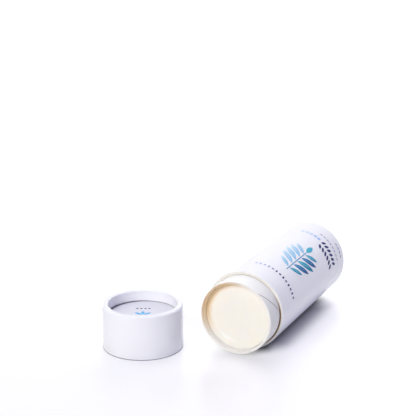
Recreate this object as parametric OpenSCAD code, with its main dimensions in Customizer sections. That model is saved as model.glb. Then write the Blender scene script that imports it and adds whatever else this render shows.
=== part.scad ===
// Push-up paper tube of solid body balm. It lies on its side, and its cap stands beside it on its mouth.
// The tube lies along Y with its mouth towards -Y. Tube and cap rest on the plane z = 0.
// Every layer of paper and board is drawn: wound walls, rolled rims, printed paper, lining and discs.
// Lengths are in millimetres and angles in degrees.

/* [Printed tube] */
// Outer diameter of the printed tube, and of the cap that ends flush with it
tube_d = 44; // [40:0.5:56]
// Length of the printed tube, from its shoulder to its base rim
tube_len = 100; // [98:1:150]
// Wall of the wound board tube
board_t = 1.75; // [1.4:0.05:2.2]
// Thickness of the printed paper on tube and cap
wrap_t = 0.2; // [0.1:0.05:0.35]
// Glue line between two wound layers
glue = 0.05; // [0.03:0.01:0.08]

/* [Neck and bore] */
// How far the neck stands out of the printed tube
neck_len = 12.8; // [9:0.1:20]
// Wall of the inner board tube
inner_t = 0.95; // [0.7:0.05:1.3]
// Thickness of the white paper on the neck
neck_paper_t = 0.2; // [0.1:0.05:0.3]
// Bare board between the neck's white paper and the shoulder
bare_line = 0.3; // [0.2:0.05:0.8]
// Bevel of the shoulder's cut edge round the neck
shoulder_bevel = 0.4; // [0.1:0.05:0.8]
// Thickness of the greaseproof lining
lining_t = 0.15; // [0.1:0.05:0.3]
// How far the lining's edge stays inside the mouth
lining_setback = 0.4; // [0:0.1:1]

/* [Rolled rims] */
// Depth of the lip that is turned in at the base
base_lip = 5.3; // [4:0.1:8]
// How far the base's lip reaches in under the push disc's collar
base_catch = 0.45; // [0.2:0.05:0.8]
// Rounding of the board on the outside of a rim
rim_round = 1.05; // [0.5:0.05:1.3]
// Rounding of the board on the inside of a rim
rim_inner_round = 0.25; // [0.1:0.05:0.5]
// Slit between a wall and the lip that is folded back against it
lip_slit = 0.15; // [0.1:0.01:0.25]

/* [Cap] */
// Width of the cap's rim, seen from above
cap_rim_w = 3.2; // [2.9:0.1:4.2]
// Depth of the recess from the rim to the disc's paper
cap_recess = 6; // [3.5:0.1:8]
// Dark line between the lip's end and the disc's paper
disc_line = 0.25; // [0.2:0.05:0.8]
// Thickness of the board disc in the cap
cap_disc_t = 1.2; // [0.8:0.1:2]
// How far the disc's edge is pressed into the cap's wall
disc_bite = 0.3; // [0.25:0.05:0.5]
// Gap between neck and cap when the cap is on
cap_fit = 0.1; // [0.05:0.05:0.3]
// Free height between the mouth and the cap's disc when the cap is on
cap_headroom = 4.55; // [2:0.05:12]

/* [Push disc] */
// Thickness of the board disc under the balm
push_disc_t = 2; // [1.2:0.1:3]
// Height of the collar that keeps the push disc square in the bore
collar_h = 6; // [4:0.5:12]
// Wall of the collar
collar_t = 0.8; // [0.5:0.1:1.4]
// Thickness of the white paper on both discs
disc_paper_t = 0.15; // [0.1:0.05:0.3]
// Running gap between collar and lining
slide_fit = 0.09; // [0.05:0.01:0.1]
// Gap between the collar and the lip that it rests on
rest_gap = 0.2; // [0.1:0.05:0.3]

/* [Balm] */
// Depth of the balm's face below the mouth
balm_recess = 3.9; // [2:0.1:12]
// How high the balm climbs at its edge
edge_rise = 0.95; // [0.3:0.05:1.5]
// Width of the raised edge
edge_w = 2.2; // [1.6:0.1:4]
// Gap that the cooled balm leaves to the lining
balm_fit = 0.15; // [0.1:0.05:0.3]

/* [Print] */
// Angle from straight up to the middle of the print, towards the +X side
print_angle = 38; // [20:1:60]
// Distance from the shoulder to the row of beads
bead_row_at = 16.5; // [8:0.5:20]
// Number of beads in that row
bead_count = 13; // [5:1:13]
// Distance from the shoulder to the foot of the sprig
sprig_at = 26.5; // [24:0.5:28]
// Spacing of the sprig's leaf pairs along the stem
leaf_pitch = 6; // [4:0.5:6.5]
// Number of leaf pairs on the sprig
leaf_pairs = 5; // [3:1:5]
// Length of the sprig's largest leaf
leaf_len = 14; // [8:0.5:15]
// Width of the sprig's largest leaf
leaf_w = 3.9; // [2.8:0.1:4.2]
// Angle between a leaf and the stem
leaf_tilt = 48; // [30:1:60]
// Width of the stem and the light line along each leaf
stem_w = 0.5; // [0.4:0.05:0.8]
// Distance from the shoulder to the first row of small leaves
leaf_rows_at = 75; // [74:0.5:77]
// Length of a small leaf in the rows
small_leaf = 4.6; // [3:0.1:5]
// Thickness of the ink
ink_t = 0.05; // [0.03:0.01:0.1]

/* [Layout] */
// Clear space between the side of the tube and the side of the cap
cap_gap = 8.3; // [4:0.1:60]
// How far the cap's axis stands in front of the mouth
cap_ahead = 6.3; // [-15:0.1:40]

/* [Hidden] */

// Radii of the tube's layers, from the outside in
tube_r = tube_d / 2;
skin = wrap_t + glue;
board_in_r = tube_r - skin - board_t;
inner_out_r = board_in_r - glue;
inner_in_r = inner_out_r - inner_t;
bore_r = inner_in_r - glue - lining_t;
neck_r = inner_out_r + glue + neck_paper_t;

// Places along the tube, from the mouth to the base rim
total_len = neck_len + tube_len;
lip_end = total_len - base_lip;
collar_end = lip_end - rest_gap;
push_disc_end = collar_end - collar_h;
balm_end = push_disc_end - push_disc_t;

// The push disc, the opening that it can't fall through, and the balm
piston_r = bore_r - slide_fit;
base_open_r = piston_r - base_catch;
collar_in_r = piston_r - collar_t;
balm_r = bore_r - balm_fit;

// Radii and heights of the cap, upwards from its mouth
cap_bore_r = neck_r + cap_fit;
cap_open_r = tube_r - cap_rim_w;
cap_disc_r = cap_bore_r + disc_bite - glue;
cap_disc_z = neck_len + cap_headroom;
cap_paper_z = cap_disc_z + cap_disc_t;
cap_face_z = cap_paper_z + disc_paper_t;
cap_h = cap_face_z + cap_recess;
cap_lip = cap_recess - disc_line;

// Where tube and cap lie, with the origin under the middle of both
side_by_side = tube_d + cap_gap;
mouth_y = (cap_ahead + tube_r - total_len) / 2;
cap_y = mouth_y - cap_ahead;

// The ink's skin, just clear of the printed paper, and the block that a printed figure is cut from
ink_in_r = tube_r + ink_t / 2;
ink_out_r = ink_in_r + ink_t;
block_from = 0.8 * tube_r;
block_depth = 0.4 * tube_r;

// Row of beads: round beads, and slim leaves as [length, width]
bead_pitch = 2.5;
bead_r = 0.75;
bead_leaf = [2.8, 1.1];

// Sprig: shares of the largest leaf for the smallest one, for the light line and for the leaf at the tip
leaf_least = 0.62;
vein_share = 0.7;
vein_w = stem_w / 2;
tip_len = 0.7 * leaf_len;
tip_w = 0.8 * leaf_w;

// Rows of small leaves on one side of the print's middle, and of round spots on the other
small_leaf_w = 1.8;
small_pitch = 2.7;
small_count = 6;
small_inset = 2.2;
small_tilt = 24;
row_gap = 6.2;
accent_r = 1.15;
accent_count = 5;
accent_inset = 1.6;

// Broken lines: dashes as [length round the tube, width], and how many there are in each line
dash = [1.7, 0.55];
dash_pitch = 2.5;
dash_first = 15;
dash_drop = 12.7;
dash_counts = [8, 4];

// Print on the cap's disc: a fan of leaves as [length, width], and a row of beads behind it
cap_print_turn = 24.7;
cap_leaf = [5, 1.9];
cap_leaf_out = 3.2;
cap_fan_y = -2.8;
cap_fan = [-50, 0, 50];
cap_bead_r = 0.7;
cap_bead_pitch = 2.2;
cap_bead_count = 4;
cap_bead_y = 6.8;

// A waste piece is drawn this much past the body that it cuts
over = 1;

paper_white = [0.95, 0.95, 0.98];
board_cream = [0.90, 0.86, 0.78];
kraft_tan = [0.85, 0.75, 0.60];
balm_cream = [0.98, 0.96, 0.90];
ink_navy = [0.14, 0.16, 0.36];
ink_deep = [0.10, 0.30, 0.55];
ink_teal = [0.13, 0.56, 0.68];
ink_pale = [0.62, 0.80, 0.93];
ink_violet = [0.42, 0.42, 0.66];

$fn = 96;

// From a frame with the tube's axis along +Z and its mouth at 0
module lay_tube() {
    translate([side_by_side / 2, mouth_y, tube_r]) rotate([-90, 0, 0]) children();
}

// From a frame with the cap's mouth at 0 and its rim up
module stand_cap() {
    translate([-side_by_side / 2, cap_y, 0]) children();
}

// A ring of rectangular section
module ring(r_in, r_out, z_lo, z_hi) {
    rotate_extrude() translate([r_in, z_lo]) square([r_out - r_in, z_hi - z_lo]);
}

// What a rounded corner loses, for a corner at the origin that points to +X and +Y
module corner_waste(r) {
    difference() {
        translate([-r, -r]) square(r + over);
        translate([-r, -r]) circle(r);
    }
}

// Section of a wall whose two upper edges are rounded
module rounded_wall(r_in, r_out, z_lo, z_hi, round_out, round_in) {
    difference() {
        translate([r_in, z_lo]) square([r_out - r_in, z_hi - z_lo]);
        translate([r_out, z_hi]) corner_waste(round_out);
        translate([r_in, z_hi]) mirror([1, 0]) corner_waste(round_in);
    }
}

// Section of the printed paper: up the wall, over the rim and down the lip to its end
module rolled_paper(z_lo, z_hi, lip, open_r) {
    difference() {
        rounded_wall(open_r, tube_r, z_lo, z_hi, rim_round + skin, rim_inner_round + skin);
        rounded_wall(open_r + wrap_t, tube_r - wrap_t, z_lo - over, z_hi - wrap_t,
            rim_round + glue, rim_inner_round + glue);
        translate([0, z_lo - over]) square([tube_r - wrap_t, z_hi - lip - z_lo + over]);
    }
}

// Section of a board wall that is turned in at its rim, with the slit inside the fold
module rolled_board(wall_in_r, z_lo, z_hi, lip, open_r) {
    wall_t = tube_r - skin - wall_in_r;
    slit_end = z_hi - skin - wall_t;
    difference() {
        rounded_wall(open_r + skin, tube_r - skin, z_lo, z_hi - skin, rim_round, rim_inner_round);
        translate([0, z_lo - over]) square([wall_in_r, z_hi - lip - z_lo + over]);
        translate([wall_in_r - lip_slit, z_hi - lip - over])
            square([lip_slit, slit_end - lip_slit / 2 - z_hi + lip + over]);
        translate([wall_in_r - lip_slit / 2, slit_end - lip_slit / 2]) circle(lip_slit / 2);
    }
}

// Waste triangle of the bevel round the bore at the shoulder
module shoulder_waste() {
    b = shoulder_bevel;
    translate([board_in_r, neck_len]) polygon([[-b, -b], [2 * b, -b], [-b, 2 * b]]);
}

module outer_tube() {
    color(board_cream) lay_tube() rotate_extrude() difference() {
        rolled_board(board_in_r, neck_len, total_len, base_lip, base_open_r);
        shoulder_waste();
    }
}

module body_wrap() {
    color(paper_white) lay_tube() rotate_extrude() rolled_paper(neck_len, total_len, base_lip, base_open_r);
}

module inner_tube() {
    color(kraft_tan) lay_tube() ring(inner_in_r, inner_out_r, 0, lip_end);
}

module neck_paper() {
    color(paper_white) lay_tube() ring(neck_r - neck_paper_t, neck_r, 0, neck_len - bare_line);
}

module tube_lining() {
    color(kraft_tan) lay_tube() ring(bore_r, bore_r + lining_t, lining_setback, lip_end);
}

// The balm's face is flat, and climbs to the wall in an arc where it set against the paper
module balm() {
    arc_r = (edge_w * edge_w + edge_rise * edge_rise) / (2 * edge_rise);
    flat_r = balm_r - edge_w;
    color(balm_cream) lay_tube() rotate_extrude() difference() {
        translate([0, balm_recess - edge_rise]) square([balm_r, balm_end - balm_recess + edge_rise]);
        translate([0, balm_recess - edge_rise - over]) square([flat_r, edge_rise + over]);
        translate([flat_r, balm_recess - arc_r]) circle(arc_r);
    }
}

module push_disc() {
    color(board_cream) lay_tube() translate([0, 0, balm_end]) cylinder(r = piston_r, h = push_disc_t);
}

module push_collar() {
    color(board_cream) lay_tube() ring(collar_in_r, piston_r, push_disc_end, collar_end);
}

module push_paper() {
    color(paper_white) lay_tube() translate([0, 0, push_disc_end])
        cylinder(r = collar_in_r - glue, h = disc_paper_t);
}

// The wall is dented where the oversize disc was pressed up against the lip
module cap_shell() {
    color(board_cream) stand_cap() rotate_extrude() difference() {
        rolled_board(cap_bore_r, 0, cap_h, cap_lip, cap_open_r);
        translate([0, cap_disc_z]) square([cap_bore_r + disc_bite, cap_h - cap_lip - cap_disc_z]);
    }
}

module cap_wrap() {
    color(paper_white) stand_cap() rotate_extrude() rolled_paper(0, cap_h, cap_lip, cap_open_r);
}

module cap_disc() {
    color(board_cream) stand_cap() translate([0, 0, cap_disc_z]) cylinder(r = cap_disc_r, h = cap_disc_t);
}

module cap_paper() {
    color(paper_white) stand_cap() translate([0, 0, cap_paper_z]) cylinder(r = cap_disc_r, h = disc_paper_t);
}

// A pointed oval, long along Y
module lens(long, wide) {
    r = (long * long + wide * wide) / (4 * wide);
    intersection() {
        translate([wide / 2 - r, 0]) circle(r);
        translate([r - wide / 2, 0]) circle(r);
    }
}

// Puts a flat figure on the tube: s is its distance from the shoulder, u its arc length from the print's middle
module on_wrap(s, u) {
    rotate([0, 0, print_angle + u / tube_r * 180 / PI - 90]) translate([block_from, 0, neck_len + s])
        rotate([90, 0, 90]) linear_extrude(block_depth) children();
}

// Leaves the figures only in the ink's skin
module printed() {
    lay_tube() intersection() {
        ring(ink_in_r, ink_out_r, neck_len, total_len - rim_round - skin);
        union() children();
    }
}

// Beads and slim leaves by turns, round the tube near its shoulder
module print_beads() {
    color(ink_navy) printed() for (i = [0 : bead_count - 1])
        on_wrap(bead_row_at, (i - (bead_count - 1) / 2) * bead_pitch)
            if (i % 2 == 0) circle(bead_r);
            else lens(bead_leaf[0], bead_leaf[1]);
}

// The leaves swell towards the middle of the sprig
function leaf_scale(i) = leaf_least + (1 - leaf_least) * sin(180 * (i + 0.5) / leaf_pairs);

// One leaf with a light line along it. side is -1 above the stem and 1 below it
module sprig_leaf(i, side) {
    long = leaf_len * leaf_scale(i);
    s = sprig_at + (i + 0.5) * leaf_pitch + long / 2 * cos(leaf_tilt);
    u = side * (stem_w + long / 2 * sin(leaf_tilt));
    on_wrap(s, u) rotate(-side * leaf_tilt) difference() {
        lens(long, leaf_w * leaf_scale(i));
        translate([-vein_w / 2, -long / 2]) square([vein_w, vein_share * long]);
    }
}

module print_leaves_pale() {
    color(ink_pale) printed() for (i = [0 : leaf_pairs - 1]) sprig_leaf(i, -1);
}

// Every other leaf below the stem, and the leaf at the sprig's tip
module print_leaves_teal() {
    color(ink_teal) printed() {
        for (i = [0 : 2 : leaf_pairs - 1]) sprig_leaf(i, 1);
        on_wrap(sprig_at + leaf_pairs * leaf_pitch + stem_w + tip_len / 2, 0) lens(tip_len, tip_w);
    }
}

// The other leaves below the stem, and the stem
module print_leaves_deep() {
    stem = leaf_pairs * leaf_pitch;
    color(ink_deep) printed() {
        for (i = [1 : 2 : leaf_pairs - 1]) sprig_leaf(i, 1);
        on_wrap(sprig_at + stem / 2, 0) square([stem_w, stem], center = true);
    }
}

// Two rows of small slanted leaves, near the base
module print_leaf_rows() {
    color(ink_navy) printed() for (row = [0, 1]) for (i = [0 : small_count - 1])
        on_wrap(leaf_rows_at + row * row_gap, small_inset + i * small_pitch)
            rotate(row == 0 ? small_tilt : -small_tilt) lens(small_leaf, small_leaf_w);
}

// Round spots that carry the second row on
module print_accents() {
    color(ink_pale) printed() for (i = [0 : accent_count - 1])
        on_wrap(leaf_rows_at + row_gap, -accent_inset - i * small_pitch) circle(accent_r);
}

// Two fine broken lines below the rows
module print_dashes() {
    color(ink_violet) printed() for (row = [0, 1]) for (i = [0 : dash_counts[row] - 1])
        on_wrap(leaf_rows_at + dash_drop + row * row_gap, dash_first - i * dash_pitch)
            square(dash, center = true);
}

// Three small leaves and a row of beads on the cap's disc
module cap_print() {
    color(ink_deep) stand_cap() translate([0, 0, cap_face_z]) linear_extrude(ink_t) rotate(cap_print_turn) {
        for (a = cap_fan)
            translate([0, cap_fan_y]) rotate(a) translate([0, cap_leaf_out]) lens(cap_leaf[0], cap_leaf[1]);
        for (i = [0 : cap_bead_count - 1])
            translate([(i - (cap_bead_count - 1) / 2) * cap_bead_pitch, cap_bead_y]) circle(cap_bead_r);
    }
}

outer_tube();
body_wrap();
inner_tube();
neck_paper();
tube_lining();
balm();
push_disc();
push_collar();
push_paper();
cap_shell();
cap_wrap();
cap_disc();
cap_paper();
print_beads();
print_leaves_pale();
print_leaves_teal();
print_leaves_deep();
print_leaf_rows();
print_accents();
print_dashes();
cap_print();
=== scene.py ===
"""Looks of the push-up paper tube of body balm: paper, board, wax and ink, on a white studio floor.

Lengths are in metres in the frame's own axes: the tube lies along Y with its mouth towards -Y, and the
cap stands on its mouth on the -X side.
"""

import math

import bpy
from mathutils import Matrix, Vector, noise


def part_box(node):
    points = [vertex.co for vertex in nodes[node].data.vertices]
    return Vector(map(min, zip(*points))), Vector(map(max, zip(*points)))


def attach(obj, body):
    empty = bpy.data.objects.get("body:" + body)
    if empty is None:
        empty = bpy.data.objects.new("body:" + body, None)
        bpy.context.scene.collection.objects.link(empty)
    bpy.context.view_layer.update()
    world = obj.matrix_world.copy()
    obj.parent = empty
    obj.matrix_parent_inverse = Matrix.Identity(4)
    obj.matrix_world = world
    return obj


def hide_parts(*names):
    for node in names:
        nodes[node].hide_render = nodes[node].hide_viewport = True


MM = 0.001

# The tube's mouth-side end and axis, and the cap's axis, are read from the frame's own boxes
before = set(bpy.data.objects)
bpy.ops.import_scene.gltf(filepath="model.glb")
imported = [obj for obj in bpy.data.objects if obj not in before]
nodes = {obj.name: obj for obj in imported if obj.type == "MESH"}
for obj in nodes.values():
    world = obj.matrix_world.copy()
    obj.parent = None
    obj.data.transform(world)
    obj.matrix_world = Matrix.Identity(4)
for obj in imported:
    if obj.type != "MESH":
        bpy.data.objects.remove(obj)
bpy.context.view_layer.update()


def centre_of(node):
    low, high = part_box(node)
    return (low + high) / 2


TUBE_AXIS = centre_of("inner_tube")
MOUTH_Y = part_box("inner_tube")[0].y
TUBE_R = (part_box("body_wrap")[1].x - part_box("body_wrap")[0].x) / 2
CAP_AXIS = centre_of("cap_wrap")

# Angle from straight up to the middle of the print, towards +X, and the seams opposite to it
PRINT_ANGLE = math.radians(38)
WRAP_SEAM_ANGLE = PRINT_ANGLE - math.pi
CAP_SEAM_ANGLE = math.radians(31)

# The facing paper's seam runs round the neck as a steep screw
SEAM_MM_PER_RAD = 16.3
SEAM_START_ANGLE = math.radians(38.6)
SEAM_GAP = 0.75 * MM

# Where the mouth's paper, board and balm edge are brown, at the upper left, and how far round from there it
# fades
BROWN_MIDDLE_ANGLE = math.radians(-54)
BROWN_SPREAD = math.radians(86)

# Pitch of the screw in which the printed tube's board is wound, and of the lining's seam
PLY_PITCH = 0.052
LINING_SEAM_PITCH = 0.1094

# The middle of the shade where the neck comes out of the shoulder
SHOULDER_SHADE_ANGLE = math.radians(112)

# The arc on the balm's face that is painted lighter, as a painted highlight
PAINTED_HIGHLIGHT_ANGLE = math.radians(-153)
PAINTED_HIGHLIGHT_SPREAD = math.radians(34)
PAINTED_HIGHLIGHT_R = 14.9 * MM

# Where the balm climbs least up the wall
LOW_CLIMB_ANGLE = math.radians(-95)

# Which way is up on the cap's print, seen from above
CAP_PRINT_UP = (-0.418, 0.908)


# Camera and stage


def make_camera():
    """The photograph's viewpoint: right of the mouth, looking down at it, with a long lens."""
    camera = bpy.data.objects.new("camera", bpy.data.cameras.new("camera"))
    bpy.context.scene.collection.objects.link(camera)
    camera.location = (0.28888, -0.64969, 0.2815)
    camera.rotation_euler = (math.radians(73.32), 0, math.radians(24.66))
    camera.data.sensor_width = 36
    camera.data.lens = 115.14
    camera.data.clip_start = 0.01
    bpy.context.scene.camera = camera


class Surface:
    """A node material under construction, with short ways to add the nodes that feed its main shader."""

    def __init__(self, name):
        self.material = bpy.data.materials.new(name)
        self.material.use_nodes = True
        self.tree = self.material.node_tree
        self.tree.nodes.clear()
        self.shader = self.node("BsdfPrincipled")
        out = self.node("OutputMaterial")
        self.tree.links.new(self.shader.outputs[0], out.inputs["Surface"])
        self.place = self.node("TexCoord").outputs["Object"]

    def node(self, kind, inputs=None, **settings):
        made = self.tree.nodes.new("ShaderNode" + kind)
        for name, value in settings.items():
            setattr(made, name, value)
        for key, value in (inputs or {}).items():
            self.feed(made.inputs[key], value)
        return made

    def feed(self, socket, value):
        if isinstance(value, bpy.types.NodeSocket):
            self.tree.links.new(value, socket)
        else:
            socket.default_value = value

    def set(self, **values):
        """Sets or links sockets of the main shader; a name's underscores stand for spaces."""
        for name, value in values.items():
            self.feed(self.shader.inputs[name.replace("_", " ")], value)

    def math(self, operation, a, b=0.0, clamp=False):
        return self.node("Math", {0: a, 1: b}, operation=operation, use_clamp=clamp).outputs[0]

    def stretched(self, scale):
        return self.node("VectorMath", {0: self.place, 1: scale}, operation="MULTIPLY").outputs[0]

    def noise(self, per_metre, detail=2.0, roughness=0.5, vector=None, stretch=None, distortion=0.0):
        source = vector or (self.stretched(stretch) if stretch else self.place)
        inputs = {"Vector": source, "Scale": per_metre, "Detail": detail, "Roughness": roughness}
        inputs["Distortion"] = distortion
        return self.node("TexNoise", inputs).outputs["Fac"]

    def span(self, value, low, high, to_low=0.0, to_high=1.0, smooth=True):
        """Maps value from low..high to to_low..to_high and clamps it."""
        inputs = {"Value": value, "From Min": low, "From Max": high, "To Min": to_low, "To Max": to_high}
        kind = "SMOOTHSTEP" if smooth else "LINEAR"
        return self.node("MapRange", inputs, interpolation_type=kind).outputs["Result"]

    def mix(self, factor, a, b, blend="MIX"):
        made = self.node("Mix", data_type="RGBA", blend_type=blend)
        self.feed(made.inputs["Factor"], factor)
        for socket, value in ((made.inputs[6], a), (made.inputs[7], b)):
            self.feed(socket, value if isinstance(value, bpy.types.NodeSocket) else (*value, 1))
        return made.outputs[2]

    def bump(self, height, depth, normal=None):
        """Turns a height from 0 to 1 into a normal, where 1 stands depth metres above 0."""
        made = self.node("Bump", {"Height": height, "Distance": depth})
        if normal is not None:
            self.feed(made.inputs["Normal"], normal)
        return made.outputs["Normal"]

    def around(self, which):
        """(angle, radius, distance along) round the tube's or the cap's axis.

        On the tube the angle is from straight up towards +X and the distance is from the mouth. On the
        cap the angle is from +X towards +Y and the distance is from the floor."""
        parts = self.node("SeparateXYZ", {0: self.place}).outputs
        if which == "tube":
            across = self.math("SUBTRACT", parts["X"], TUBE_AXIS.x)
            upward = self.math("SUBTRACT", parts["Z"], TUBE_AXIS.z)
            along = self.math("SUBTRACT", parts["Y"], MOUTH_Y)
        else:
            across = self.math("SUBTRACT", parts["Y"], CAP_AXIS.y)
            upward = self.math("SUBTRACT", parts["X"], CAP_AXIS.x)
            along = parts["Z"]
        angle = self.math("ARCTAN2", across, upward)
        across_squared = self.math("MULTIPLY", across, across)
        upward_squared = self.math("MULTIPLY", upward, upward)
        return angle, self.math("SQRT", self.math("ADD", across_squared, upward_squared)), along

    def line(self, value, at, half_width):
        """1 where value is at the given number, falling to 0 half_width away from it."""
        off = self.math("ABSOLUTE", self.math("SUBTRACT", value, at))
        return self.span(off, 0.0, half_width, 1.0, 0.0)

    def paint(self, *objects):
        for obj in objects:
            obj.data.materials.clear()
            obj.data.materials.append(self.material)
        return self.material


def make_floor():
    """A wide, softly glossy white sheet. To the camera it is half lit and half shining by itself, so that the
    lamps' shadows are soft, and it is lighter towards the back. Beside the resting tube, where light comes in
    from neither end, its glow is taken away as painted shadow, and right beneath it is painted nearly black."""
    reach = 6.0
    mesh = bpy.data.meshes.new("floor")
    corners = [(-reach, -reach, 0), (reach, -reach, 0), (reach, reach, 0), (-reach, reach, 0)]
    mesh.from_pydata(corners, [], [(0, 1, 2, 3)])
    floor = bpy.data.objects.new("floor", mesh)
    bpy.context.scene.collection.objects.link(floor)
    s = Surface("studio_floor")
    backward = s.node("SeparateXYZ", {0: s.place}).outputs["Y"]
    open_sky = s.node("AmbientOcclusion", {"Distance": 0.02}, samples=16).outputs["AO"]

    def painted_shade_mask(most, least, by_mouth, by_base):
        """1 where at most that share of the sky is open, beside the tube and away from its two ends."""
        beside = s.math("MULTIPLY", s.span(backward, *by_base, 1.0, 0.0), s.span(backward, *by_mouth))
        return s.math("MULTIPLY", beside, s.span(open_sky, most, least, 1.0, 0.0))

    # Painted shadow: where these masks are high, the floor's glow is taken away
    wide = painted_shade_mask(0.32, 0.64, (-0.032, -0.012), (0.042, 0.064))
    near = painted_shade_mask(0.22, 0.44, (-0.036, -0.024), (0.052, 0.066))
    touch = painted_shade_mask(0.12, 0.27, (-0.041, -0.034), (0.052, 0.066))
    core = s.math("MAXIMUM", wide, near)
    paths = s.node("LightPath").outputs
    reflected = s.math("MULTIPLY", paths["Is Glossy Ray"], s.span(open_sky, 0.45, 0.85))
    shown = s.math("MULTIPLY", s.span(backward, 0.03, 0.10, 1.0, 1.8), s.math("SUBTRACT", 1.0, core))
    shown = s.math("MULTIPLY", shown, paths["Is Camera Ray"])
    glow = s.math("MULTIPLY", s.span(backward, -0.14, -0.03, 0.40, 0.45), s.math("ADD", shown, reflected))
    in_view = s.math("MAXIMUM", paths["Is Camera Ray"], reflected)
    colour = s.mix(in_view, (0.77, 0.77, 0.82), (0.50, 0.492, 0.525))
    # Painted contact shadow: nearly black right beneath the resting tube
    painted_contact_shadow = s.math("MULTIPLY", touch, paths["Is Camera Ray"])
    colour = s.mix(painted_contact_shadow, colour, (0.02, 0.015, 0.03))
    s.set(Base_Color=colour, Roughness=0.24, IOR=1.6, Emission_Color=(1, 1, 1, 1), Emission_Strength=glow)
    s.paint(floor)


def make_world():
    """White to the camera and in reflections, and a weak fill as light, most of which the lamps give."""
    world = bpy.data.worlds.new("studio")
    world.use_nodes = True
    bpy.context.scene.world = world
    tree = world.node_tree
    tree.nodes.clear()
    fill = tree.nodes.new("ShaderNodeBackground")
    fill.inputs["Color"].default_value = (0.03, 0.03, 0.04, 1)
    plain = tree.nodes.new("ShaderNodeBackground")
    plain.inputs["Color"].default_value = (1, 1, 1, 1)
    paths = tree.nodes.new("ShaderNodeLightPath")
    seen = tree.nodes.new("ShaderNodeMath")
    seen.operation = "MAXIMUM"
    tree.links.new(paths.outputs["Is Camera Ray"], seen.inputs[0])
    tree.links.new(paths.outputs["Is Glossy Ray"], seen.inputs[1])
    shown = tree.nodes.new("ShaderNodeMixShader")
    tree.links.new(seen.outputs[0], shown.inputs[0])
    tree.links.new(fill.outputs[0], shown.inputs[1])
    tree.links.new(plain.outputs[0], shown.inputs[2])
    out = tree.nodes.new("ShaderNodeOutputWorld")
    tree.links.new(shown.outputs[0], out.inputs["Surface"])


def make_lamp(name, from_direction, spread_deg, irradiance):
    """A far softbox that only lights, and is not seen in reflections. An irradiance of 1 in red, green and blue
    shows a white surface that faces it at 1."""
    light = bpy.data.lights.new(name, "SUN")
    strongest = max(irradiance)
    light.energy = strongest * math.pi
    light.color = [part / strongest for part in irradiance]
    light.angle = math.radians(spread_deg)
    obj = bpy.data.objects.new(name, light)
    bpy.context.scene.collection.objects.link(obj)
    obj.rotation_mode = "QUATERNION"
    obj.rotation_quaternion = Vector(from_direction).normalized().to_track_quat("Z", "Y")
    obj.visible_glossy = False


def make_lamps():
    make_lamp("front", (-0.15, -0.87, 0.46), 30, (0.59, 0.58, 0.545))
    make_lamp("front_right", (0.35, -0.85, 0.40), 40, (0.14, 0.14, 0.13))
    make_lamp("back", (-0.10, 0.89, 0.44), 50, (0.59, 0.58, 0.55))
    make_lamp("top_left", (-0.26, 0.25, 0.91), 30, (0.31, 0.315, 0.29))
    make_lamp("top_right", (0.38, 0.05, 0.92), 60, (0.13, 0.13, 0.24))


# Materials


def printed_paper(name, which, seam_angle):
    """Coated white label paper on wound board: faint screw-like ridges of the plies beneath, fibres, an
    overlap seam along the back, and small pleats where it is turned in over the rim."""
    s = Surface(name)
    angle, radius, along = s.around(which)
    clouds = s.noise(60, detail=3)
    fibres = s.noise(2600, detail=3, roughness=0.65)
    colour = s.mix(clouds, (0.878, 0.878, 0.940), (0.908, 0.908, 0.965))
    colour = s.mix(s.span(fibres, 0.62, 0.80, 0.0, 0.10), colour, (0.80, 0.80, 0.86))
    overlap = s.line(angle, seam_angle, 0.012)
    colour = s.mix(s.math("MULTIPLY", overlap, 0.35), colour, (0.62, 0.60, 0.66))
    if which == "cap":
        # Painted contact shadow: the lowest 0.6 mm of the cap's wrap is painted dark, with the darker cut edge
        # of the paper
        colour = s.mix(s.span(along, 0.25 * MM, 0.6 * MM, 0.8, 0.0), colour, (0.10, 0.09, 0.16))
    around, lengthwise = s.math("MULTIPLY", angle, 7.0), s.math("MULTIPLY", along, 90.0)
    unrolled = s.node("CombineXYZ", {0: around, 1: lengthwise, 2: 0.0})
    pleats = s.noise(5, detail=2, vector=unrolled.outputs[0])
    turned_in = s.span(radius, TUBE_R - 2.6 * MM, TUBE_R - 1.2 * MM, 1.0, 0.0)
    pleated = s.math("MULTIPLY", pleats, turned_in)
    screw = s.math("ADD", along, s.math("MULTIPLY", angle, PLY_PITCH / (2 * math.pi)))
    ply = s.math("PINGPONG", s.math("ADD", screw, 1.0), PLY_PITCH / 2)
    ridge = s.span(ply, 0.0, 0.0016, 1.0, 0.0)
    waves = s.noise(170, detail=2)
    film = s.bump(waves, 0.04 * MM)
    film = s.bump(ridge, 0.02 * MM, film)
    film = s.bump(pleated, 0.12 * MM, film)
    film = s.bump(s.span(angle, seam_angle - 0.004, seam_angle + 0.004), 0.09 * MM, film)
    gloss = s.span(s.noise(900, detail=2), 0.3, 0.7, 0.12, 0.20, smooth=False)
    s.set(Base_Color=colour, Roughness=0.6, Normal=s.bump(fibres, 0.010 * MM, film), IOR=1.3)
    s.set(Coat_Weight=1.0, Coat_Roughness=gloss, Coat_Normal=film)
    return s


def facing_paper():
    """Uncoated grey-white paper with loose fibres and specks, as on the neck."""
    s = Surface("facing_paper")
    blotches = s.noise(420, detail=4, roughness=0.65)
    fibres = s.noise(1500, detail=4, roughness=0.7, stretch=(1, 2.6, 1), distortion=0.8)
    specks = s.noise(2300, detail=1)
    colour = s.mix(s.span(blotches, 0.3, 0.7), (0.965, 0.955, 0.925), (0.985, 0.98, 0.95))
    colour = s.mix(s.span(fibres, 0.60, 0.76, 0.0, 0.24), colour, (0.76, 0.75, 0.74))
    colour = s.mix(s.span(specks, 0.74, 0.80, 0.0, 0.40), colour, (0.52, 0.46, 0.40))
    normal = s.bump(blotches, 0.06 * MM)
    normal = s.bump(fibres, 0.03 * MM, normal)
    s.set(Base_Color=colour, Roughness=0.72, Normal=normal, IOR=1.5)
    return s


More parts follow.
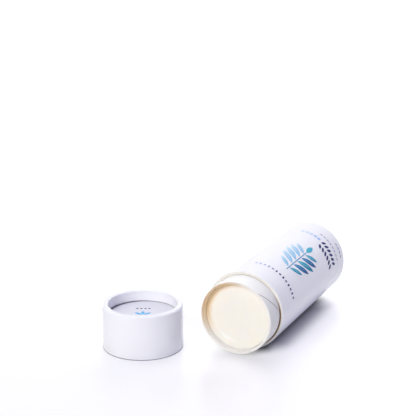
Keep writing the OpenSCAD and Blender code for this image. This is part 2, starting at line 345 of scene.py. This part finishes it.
def disc_paper(which):
    """Smooth white paper on a board disc, a little cooler than the wrap."""
    s = Surface(which + "_disc_paper")
    clouds = s.noise(90, detail=3)
    fibres = s.noise(2400, detail=3, roughness=0.65)
    colour = s.mix(clouds, (0.70, 0.70, 0.76), (0.74, 0.74, 0.80))
    colour = s.mix(s.span(fibres, 0.60, 0.78, 0.0, 0.18), colour, (0.62, 0.62, 0.70))
    if which == "cap":
        # Painted shade: on the cap, a dark ring round the disc's edge, strongest on the -X side, where the lip
        # shades the disc
        radius = s.around("cap")[1]
        rightward = s.node("SeparateXYZ", {0: s.place}).outputs["X"]
        leftward = s.span(rightward, CAP_AXIS.x - 17 * MM, CAP_AXIS.x, 1.0, 0.0)
        edge = s.span(leftward, 0.0, 1.0, 18.45 * MM, 17.7 * MM, smooth=False)
        painted_shade_mask = s.span(s.math("SUBTRACT", radius, edge), -0.4 * MM, 0.3 * MM)
        painted_shade_mask = s.math("MULTIPLY", painted_shade_mask, s.span(leftward, 0.0, 1.0, 0.15, 0.9))
        colour = s.mix(painted_shade_mask, colour, (0.10, 0.07, 0.10))
    normal = s.bump(fibres, 0.015 * MM)
    normal = s.bump(s.noise(150, detail=2), 0.07 * MM, normal)
    s.set(Base_Color=colour, Roughness=0.5, Normal=normal, IOR=1.5)
    return s


def browned_upper_left(s, angle):
    """1 where the mouth's paper, board and balm edge are coloured brown, at the upper left, falling to 0 round
    from there.
    """
    away = s.math("ABSOLUTE", s.math("SUBTRACT", angle, BROWN_MIDDLE_ANGLE))
    return s.span(away, 0.3 * BROWN_SPREAD, BROWN_SPREAD, 1.0, 0.0)


def mouth_edge(s, angle, radius, along, colour):
    """Brown towards the upper left, dark board behind the facing paper's joint, and pale inside the shoulder.
    """
    colour = s.mix(s.math("MULTIPLY", browned_upper_left(s, angle), 0.85), colour, (0.66, 0.43, 0.20))
    colour = s.mix(s.span(along, 0.4 * MM, 1.0 * MM), colour, (0.16, 0.09, 0.05))
    return s.mix(s.span(along, 12.0 * MM, 12.45 * MM), colour, (0.80, 0.73, 0.66))


def shoulder_crevice(s, angle, radius, along, colour):
    """Dark where the bevel meets the neck on the side that faces away from the light."""
    away = s.math("ABSOLUTE", s.math("SUBTRACT", angle, SHOULDER_SHADE_ANGLE))
    low = s.span(away, math.radians(25), math.radians(62), 1.0, 0.0)
    near = s.span(radius, TUBE_R - 1.25 * MM, TUBE_R - 0.75 * MM, 1.0, 0.0)
    return s.mix(s.math("MULTIPLY", low, near), colour, (0.22, 0.14, 0.09))


def cut_board(name, which, light, dark, ply_mm, tint_and_painted_shade=None, joint_share=0.45):
    """Cut edge of wound board: fine rings where one ply meets the next, and torn fibre."""
    s = Surface(name)
    angle, radius, along = s.around(which)
    wander = s.math("MULTIPLY", s.noise(700, detail=3), 0.35 * MM)
    rings = s.math("PINGPONG", s.math("ADD", radius, wander), ply_mm / 2 * MM)
    joint = s.span(rings, 0.0, 0.12 * MM, 1.0, 0.0)
    fibres = s.noise(2600, detail=4, roughness=0.7)
    colour = s.mix(s.span(fibres, 0.3, 0.75), light, dark)
    colour = s.mix(s.math("MULTIPLY", joint, joint_share), colour, tuple(0.8 * c for c in dark))
    # The given hook recolours the edge: board colouring at the mouth, painted shade at the shoulder
    if tint_and_painted_shade:
        colour = tint_and_painted_shade(s, angle, radius, along, colour)
    normal = s.bump(fibres, 0.08 * MM)
    normal = s.bump(joint, -0.06 * MM, normal)
    s.set(Base_Color=colour, Roughness=0.85, Normal=normal, IOR=1.45)
    return s


def greaseproof():
    """Lining paper with a waxed sheen, wound at a slant with one seam: nearly white, tan towards the upper
    left.
    """
    s = Surface("greaseproof_lining")
    angle, _, along = s.around("tube")
    fibres = s.noise(900, detail=4, roughness=0.65, stretch=(1, 2.2, 1))
    streaks = s.noise(160, detail=3)
    untinted = s.mix(s.span(streaks, 0.3, 0.7), (0.95, 0.925, 0.89), (0.98, 0.965, 0.94))
    brown = s.mix(s.span(streaks, 0.3, 0.7), (0.92, 0.69, 0.42), (0.96, 0.80, 0.58))
    colour = s.mix(browned_upper_left(s, angle), untinted, brown)
    by_balm = s.math("MULTIPLY", browned_upper_left(s, angle), s.span(along, 2.7 * MM, 3.5 * MM, 0.0, 0.7))
    colour = s.mix(by_balm, colour, (0.98, 0.73, 0.43))
    colour = s.mix(s.span(fibres, 0.55, 0.78, 0.0, 0.14), colour, (0.74, 0.58, 0.40))
    screw = s.math("SUBTRACT", along, s.math("MULTIPLY", angle, SEAM_MM_PER_RAD * MM))
    to_seam = s.math("PINGPONG", s.math("ADD", screw, 1.03), LINING_SEAM_PITCH / 2)
    seam = s.span(to_seam, 0.0, 0.3 * MM, 1.0, 0.0)
    colour = s.mix(s.math("MULTIPLY", seam, 0.6), colour, (0.45, 0.33, 0.22))
    normal = s.bump(fibres, 0.03 * MM)
    normal = s.bump(seam, -0.05 * MM, normal)
    s.set(Base_Color=colour, Roughness=0.42, Normal=normal, IOR=1.5)
    return s


def wax():
    """Poured balm: cream, slightly see-through wax with faint cloudy swirls and a soft shine."""
    s = Surface("poured_balm")
    angle, radius, along = s.around("tube")
    clouds = s.noise(130, detail=4, roughness=0.6, distortion=1.2)
    grain = s.noise(3800, detail=2)
    colour = s.mix(s.span(clouds, 0.2, 0.8), (0.895, 0.862, 0.792), (0.910, 0.880, 0.812))
    clouded = s.math("ADD", radius, s.math("MULTIPLY", clouds, 1.2 * MM))
    thin = s.span(clouded, 15.3 * MM, 18.8 * MM)
    thin = s.math("MULTIPLY", thin, s.span(along, 4.2 * MM, 5.6 * MM, 1.0, 0.0))
    tint = s.mix(s.span(radius, 17.7 * MM, 18.5 * MM), (0.75, 0.54, 0.30), (0.98, 0.76, 0.47))
    colour = s.mix(s.math("MULTIPLY", thin, browned_upper_left(s, angle)), colour, tint)
    colour = s.mix(s.span(grain, 0.66, 0.80, 0.0, 0.2), colour, (0.93, 0.90, 0.84))
    # Painted highlight: an arc on the face towards the lower left is painted lighter
    low_left = s.line(angle, PAINTED_HIGHLIGHT_ANGLE, PAINTED_HIGHLIGHT_SPREAD)
    painted_highlight = s.math("MULTIPLY", low_left, s.line(radius, PAINTED_HIGHLIGHT_R, 1.5 * MM))
    colour = s.mix(s.math("MULTIPLY", painted_highlight, 0.8), colour, (0.985, 0.975, 0.95))
    normal = s.bump(s.noise(520, detail=3), 0.02 * MM)
    normal = s.bump(grain, 0.004 * MM, normal)
    gloss = s.span(s.noise(240, detail=3), 0.3, 0.7, 0.30, 0.44, smooth=False)
    s.set(Base_Color=colour, Roughness=gloss, Normal=normal, IOR=1.45)
    s.set(Subsurface_Weight=0.35, Subsurface_Radius=(1.0, 0.72, 0.42), Subsurface_Scale=0.0022)
    return s


def ink(name, deep, pale, fade_from, fade_to, wash=0.35):
    """Printed ink, laid in washes: it pools darker in places, and pales across the tube from one angle, in
    degrees, to another, towards the tube's lit top. This paling is painted light, which in the leaves is also a
    gradient of the print."""
    s = Surface(name)
    angle = s.around("tube")[0]
    pool = s.noise(330, detail=4, roughness=0.65, distortion=0.6)
    paper = s.noise(2600, detail=3, roughness=0.65)
    # Painted light: the ink pales towards the tube's lit top
    across = s.span(angle, math.radians(fade_from), math.radians(fade_to))
    amount = s.math("ADD", across, s.math("MULTIPLY", s.math("SUBTRACT", pool, 0.5), 2 * wash), clamp=True)
    colour = s.mix(amount, deep, pale)
    colour = s.mix(s.span(paper, 0.62, 0.78, 0.0, 0.12), colour, pale)
    s.set(Base_Color=colour, Roughness=0.5, Normal=s.bump(paper, 0.008 * MM), IOR=1.28)
    s.set(Coat_Weight=0.06, Coat_Roughness=0.3)
    return s


def disc_ink():
    """Ink on the cap's disc: sky-blue leaves in front, navy beads behind them."""
    s = Surface("ink_disc")
    pool = s.noise(500, detail=4, roughness=0.65)
    up_x, up_y = CAP_PRINT_UP
    upward = s.node("VectorMath", {0: s.place, 1: (up_x, up_y, 0)}, operation="DOT_PRODUCT").outputs["Value"]
    behind = s.math("SUBTRACT", upward, CAP_AXIS.x * up_x + CAP_AXIS.y * up_y)
    leaves = s.mix(pool, (0.01, 0.22, 0.62), (0.12, 0.60, 0.90))
    beads = s.mix(pool, (0.02, 0.02, 0.12), (0.08, 0.08, 0.26))
    colour = s.mix(s.span(behind, 3.5 * MM, 4.5 * MM), leaves, beads)
    s.set(Base_Color=colour, Roughness=0.42, Normal=s.bump(pool, 0.006 * MM), IOR=1.5)
    return s


def paint_frame():
    printed_paper("printed_paper_tube", "tube", WRAP_SEAM_ANGLE).paint(nodes["body_wrap"])
    printed_paper("printed_paper_cap", "cap", CAP_SEAM_ANGLE).paint(nodes["cap_wrap"])
    disc_paper("cap").paint(nodes["cap_paper"])
    disc_paper("push").paint(nodes["push_paper"])
    cream, straw = (0.92, 0.90, 0.865), (0.85, 0.815, 0.76)
    cut_board("tube_board", "tube", cream, straw, 0.6, shoulder_crevice).paint(nodes["outer_tube"])
    cut_board("disc_board", "tube", cream, straw, 0.6).paint(nodes["push_disc"], nodes["push_collar"])
    cut_board("cap_board", "cap", cream, straw, 0.6).paint(nodes["cap_shell"], nodes["cap_disc"])
    cut_board("mouth_board", "tube", (0.97, 0.95, 0.92), (0.94, 0.91, 0.875), 0.32, mouth_edge, 0.15).paint(
        nodes["inner_tube"])
    greaseproof().paint(nodes["tube_lining"])
    navy = ink("ink_navy", (0.010, 0.016, 0.13), (0.40, 0.45, 0.78), 44, 2)
    navy.paint(nodes["print_beads"], nodes["print_leaf_rows"])
    ink("ink_pale", (0.24, 0.55, 0.82), (0.66, 0.82, 0.95), 38, 2).paint(nodes["print_leaves_pale"])
    ink("ink_spots", (0.34, 0.50, 0.90), (0.62, 0.74, 0.96), 38, 2).paint(nodes["print_accents"])
    ink("ink_teal", (0.004, 0.20, 0.36), (0.06, 0.46, 0.62), 70, 36).paint(nodes["print_leaves_teal"])
    ink("ink_deep", (0.006, 0.06, 0.24), (0.03, 0.26, 0.54), 70, 36).paint(nodes["print_leaves_deep"])
    ink("ink_violet", (0.03, 0.03, 0.20), (0.16, 0.16, 0.48), 80, 20).paint(nodes["print_dashes"])
    disc_ink().paint(nodes["cap_print"])


# Pieces that stand in for plain solids


def mesh_piece(name, points, faces, surface, body, slot, *stands_for):
    mesh = bpy.data.meshes.new(name)
    mesh.from_pydata(points, [], faces)
    mesh.validate()
    mesh.update()
    obj = bpy.data.objects.new(name, mesh)
    bpy.context.scene.collection.objects.link(obj)
    for face in mesh.polygons:
        face.use_smooth = True
    surface.paint(obj)
    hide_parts(*stands_for)
    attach(obj, body)
    return obj


def on_tube(angle, radius, along):
    """A point of the tube, from its angle from straight up, its radius and its distance from the mouth."""
    return (
        TUBE_AXIS.x + radius * math.sin(angle),
        MOUTH_Y + along,
        TUBE_AXIS.z + radius * math.cos(angle),
    )


def neck_facing():
    """The neck's facing paper as the slanted strip that it is, with the open joint between its two edges."""
    low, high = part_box("neck_paper")
    outer = (high.x - low.x) / 2
    inner = outer - 0.2 * MM
    length = high.y - low.y
    rows, columns = 14, 200
    points = []
    for row in range(rows + 1):
        along = length * row / rows
        seam = SEAM_START_ANGLE + along / (SEAM_MM_PER_RAD * MM)
        gap = SEAM_GAP / 2 / outer
        for column in range(columns + 1):
            share = column / columns
            angle = seam + gap + share * (2 * math.pi - 2 * gap)
            curl = 0.05 * MM * math.exp(-((1 - share) * 2 * math.pi * outer / (1.2 * MM)) ** 2)
            points.append(on_tube(angle, outer - 0.02 * MM + curl, along))
            points.append(on_tube(angle, inner + curl, along))
    faces = []
    wide = 2 * (columns + 1)
    for row in range(rows):
        for column in range(columns):
            a = row * wide + 2 * column
            b, c, d = a + 2, a + 2 + wide, a + wide
            faces.append((a, b, c, d))
            faces.append((a + 1, d + 1, c + 1, b + 1))
    for column in range(columns):
        a, b = 2 * column, 2 * column + 2
        faces.append((a, a + 1, b + 1, b))
        e, f = rows * wide + a, rows * wide + b
        faces.append((e, f, f + 1, e + 1))
    for row in range(rows):
        a, b = row * wide, (row + 1) * wide
        faces.append((a, b, b + 1, a + 1))
        e, f = a + wide - 2, b + wide - 2
        faces.append((e, e + 1, f + 1, f))
    piece = mesh_piece("neck_facing", points, faces, facing_paper(), "tube_and_cap", "neck_paper", "neck_paper")
    keep_edges_sharp(piece)


def keep_edges_sharp(obj):
    """Shades an edge as sharp where its faces meet at a steep angle."""
    obj.data.set_sharp_from_angle(angle=math.radians(40))


def balm_cake():
    """The poured balm: a face that dips, ripples and climbs unevenly to the wall where it cooled."""
    low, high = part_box("balm")
    radius = (high.x - low.x) / 2
    top = low.y - MOUTH_Y
    depth = high.y - low.y
    rise, width = 0.80 * MM, 2.8 * MM
    face_rings, turns = 56, 224
    arc = (width * width + rise * rise) / (2 * rise)
    edge_round = 0.25 * MM

    def face_height(r, angle):
        """Distance of the face from the mouth."""
        wobble = noise.noise(Vector((3 * math.cos(angle), 3 * math.sin(angle), 0.4)))
        start = radius - width * (1 + 0.22 * wobble)
        climb = 0.0
        if r > start:
            run = (r - start) / (radius - start) * width
            climb = arc - math.sqrt(max(arc * arc - run * run, 0.0))
            climb *= 1 - 0.8 * max(0.0, math.cos(angle - LOW_CLIMB_ANGLE)) ** 2
        x, z = r * math.sin(angle), r * math.cos(angle)
        swell = noise.noise(Vector((x, z, 0.0)) * 90) * 0.10 * MM
        swell += noise.noise(Vector((x, z, 0.004)) * 330) * 0.03 * MM
        ripple = 0.018 * MM * math.cos(2 * math.pi * (r + 0.002 * wobble) / (2.6 * MM))
        flat = min(1.0, max(0.0, (radius - r) / width))
        return top + rise - climb + (swell + ripple) * flat

    angles = [2 * math.pi * turn / turns for turn in range(turns)]
    radii = [radius * math.sqrt(i / face_rings) * 0.999 for i in range(1, face_rings + 1)]
    rings = [(r, [face_height(r, angle) for angle in angles]) for r in radii]
    rings.append((radius, [along + edge_round for along in rings[-1][1]]))
    for along in (top + 1.2 * MM, top + depth / 2, top + depth):
        rings.append((radius, [along] * turns))
    points, faces = [on_tube(0, 0, face_height(0, 0))], []
    for r, alongs in rings:
        for angle, along in zip(angles, alongs):
            points.append(on_tube(angle, r, along))
    for turn in range(turns):
        faces.append((0, 1 + turn, 1 + (turn + 1) % turns))
    for ring in range(len(rings) - 1):
        for turn in range(turns):
            a = 1 + ring * turns + turn
            b = 1 + ring * turns + (turn + 1) % turns
            faces.append((a, a + turns, b + turns, b))
    last = 1 + (len(rings) - 1) * turns
    faces.append(tuple(last + turn for turn in reversed(range(turns))))
    piece = mesh_piece("balm_cake", points, faces, wax(), "stick", "balm", "balm")
    keep_edges_sharp(piece)


make_camera()
make_floor()
make_world()
make_lamps()
paint_frame()
neck_facing()
balm_cake()

bpy.context.scene.view_settings.view_transform = "Standard"
